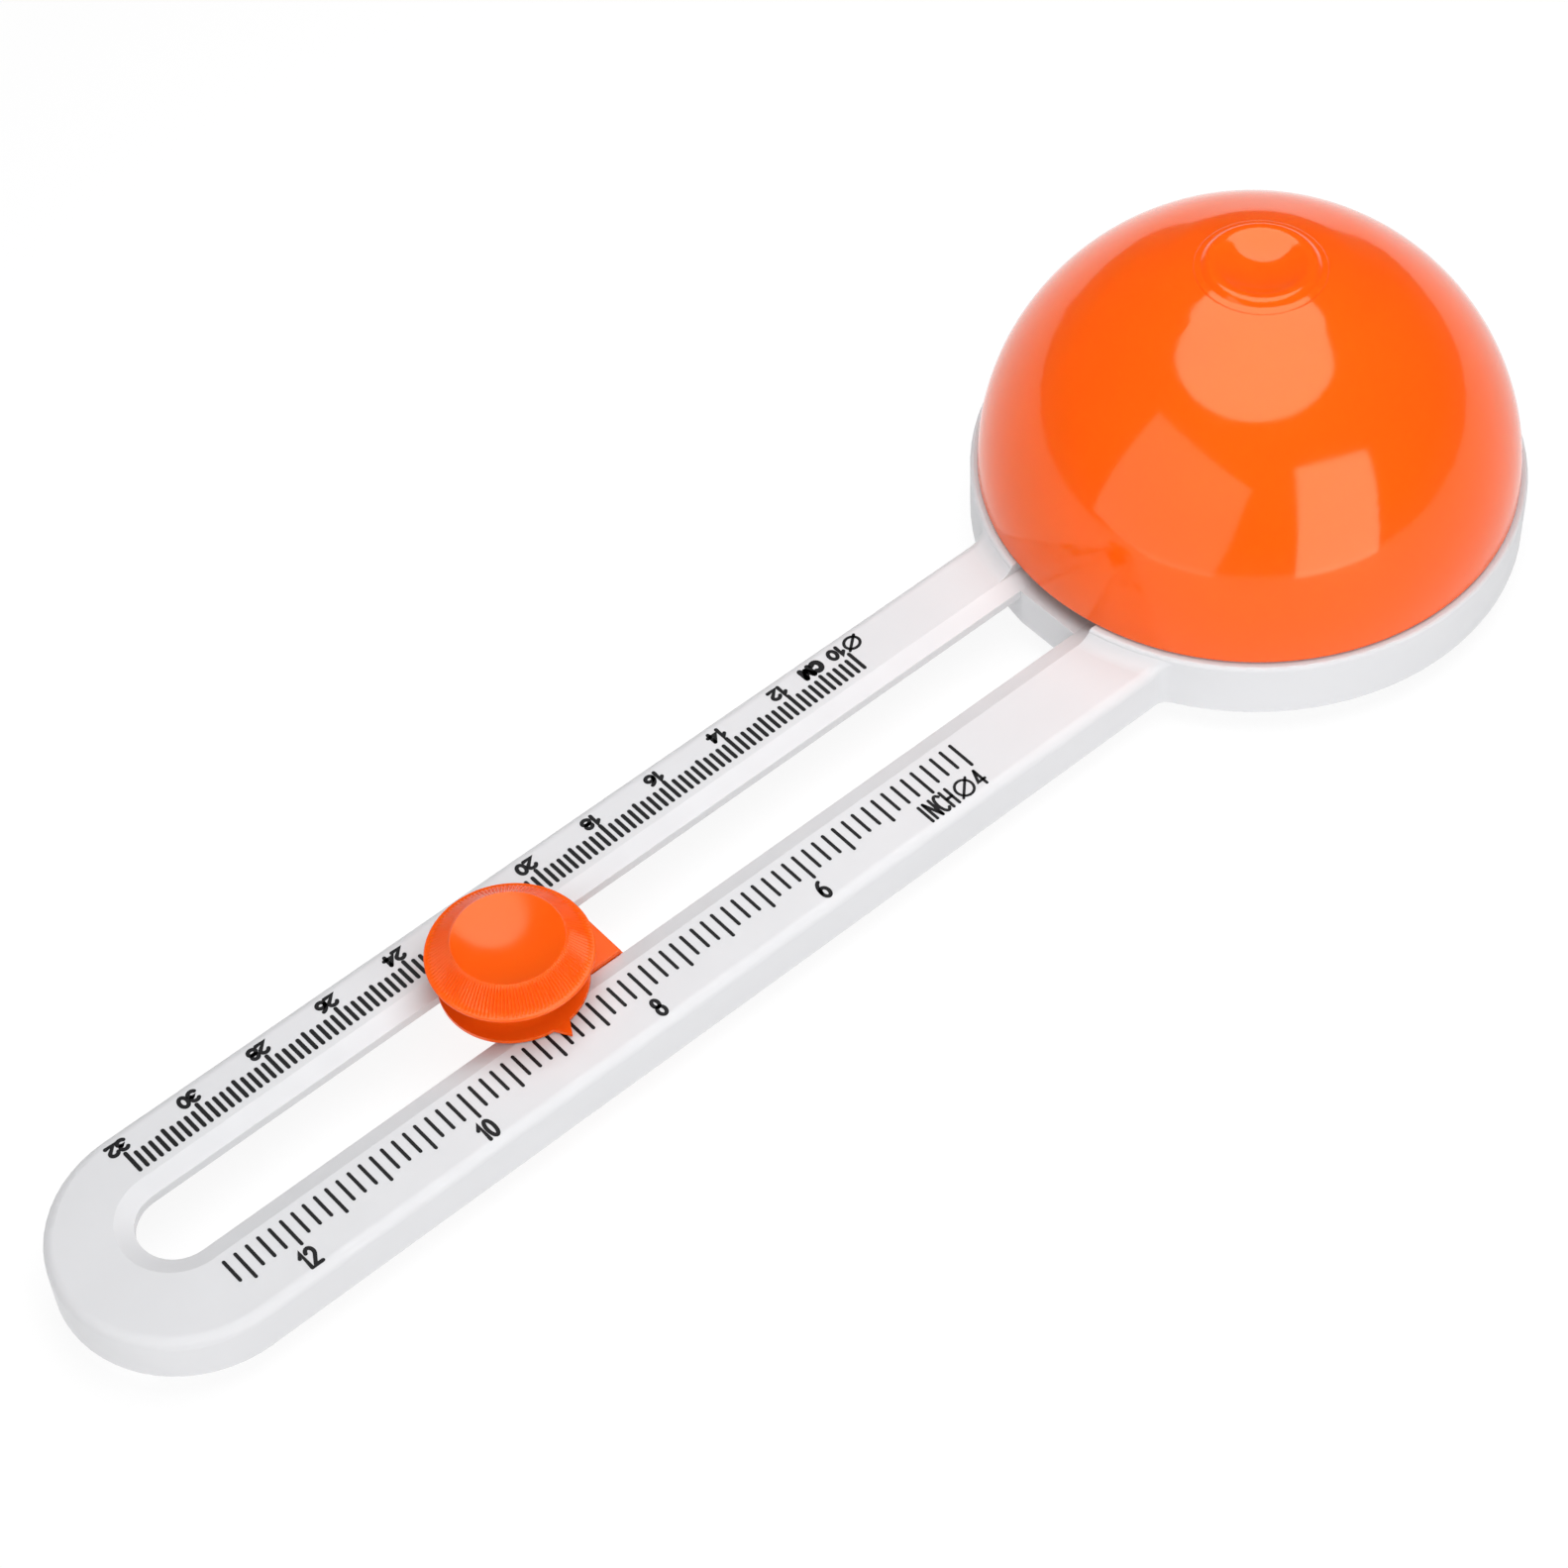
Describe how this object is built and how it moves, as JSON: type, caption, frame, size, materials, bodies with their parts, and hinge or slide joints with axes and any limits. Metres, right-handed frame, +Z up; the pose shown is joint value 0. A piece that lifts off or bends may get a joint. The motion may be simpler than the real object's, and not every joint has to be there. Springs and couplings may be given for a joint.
{
  "type": "compass circle cutter",
  "caption": "Compass-style circle cutter for paper: a non-slip dome hub, a slotted arm with printed scales that turns about it, and a sliding press knob that holds a blade.",
  "frame": {"origin": "pivot axis of the hub at the plane of the table that the grip pad stands on", "axes": "+Z up along the pivot axis, +X along the slotted arm towards its outer end, +Y towards the side of the arm with the inch scale"},
  "size_m": [0.2205, 0.071, 0.0469],
  "materials": {
    "orange_gloss": "glossy moulded ABS",
    "orange_slider": "satin-gloss moulded ABS",
    "orange_cartridge": "moulded ABS",
    "white_arm": "satin white ABS with printed black scales",
    "white_plastic": "moulded white ABS",
    "natural_acetal": "natural acetal",
    "grey_rubber": "non-slip rubber",
    "zinc_steel": "zinc-plated steel",
    "spring_steel": "spring steel",
    "blade_steel": "ground tool steel",
    "eyelet_nickel": "nickel-plated brass"
  },
  "bodies": {
    "hub": {"dome_knob": "orange_gloss", "spindle": "natural_acetal", "upper_glide_ring": "natural_acetal", "lower_glide_ring": "natural_acetal", "base_plate": "white_plastic", "grip_pad": "grey_rubber", "hub_screws": "zinc_steel"},
    "arm": {"scale_arm": "white_arm"},
    "slider": {"slider_base": "orange_slider", "slider_keeper": "orange_slider", "brake_springs": "spring_steel", "return_spring": "spring_steel"},
    "press": {"plunger": "natural_acetal", "cap_snap_ring": "spring_steel", "blade_carrier": "white_plastic", "carrier_screw": "zinc_steel", "latch_spring": "spring_steel", "cartridge_body": "orange_cartridge", "cutter_blade": "blade_steel", "cartridge_eyelet": "eyelet_nickel"},
    "knob": {"knob_cap": "orange_slider"}
  },
  "joints": [
    {"name": "arm_turn", "type": "hinge", "parent": "hub", "child": "arm", "pos_m": [0, 0, 0.0095], "axis": [0, 0, 1], "continuous": true},
    {"name": "slider_slide", "type": "slide", "parent": "arm", "child": "slider", "axis": [1, 0, 0], "range_m": [-0.0622, 0.0478]},
    {"name": "knob_press", "type": "slide", "parent": "slider", "child": "press", "axis": [0, 0, -1], "range_m": [0, 0.002], "stiffness_N_per_m": 600, "springref_m": -0.002, "deforming": ["return_spring"]},
    {"name": "knob_turn", "type": "hinge", "parent": "press", "child": "knob", "pos_m": [0.1206, 0, 0.018], "axis": [0, 0, 1], "continuous": true}
  ]
}
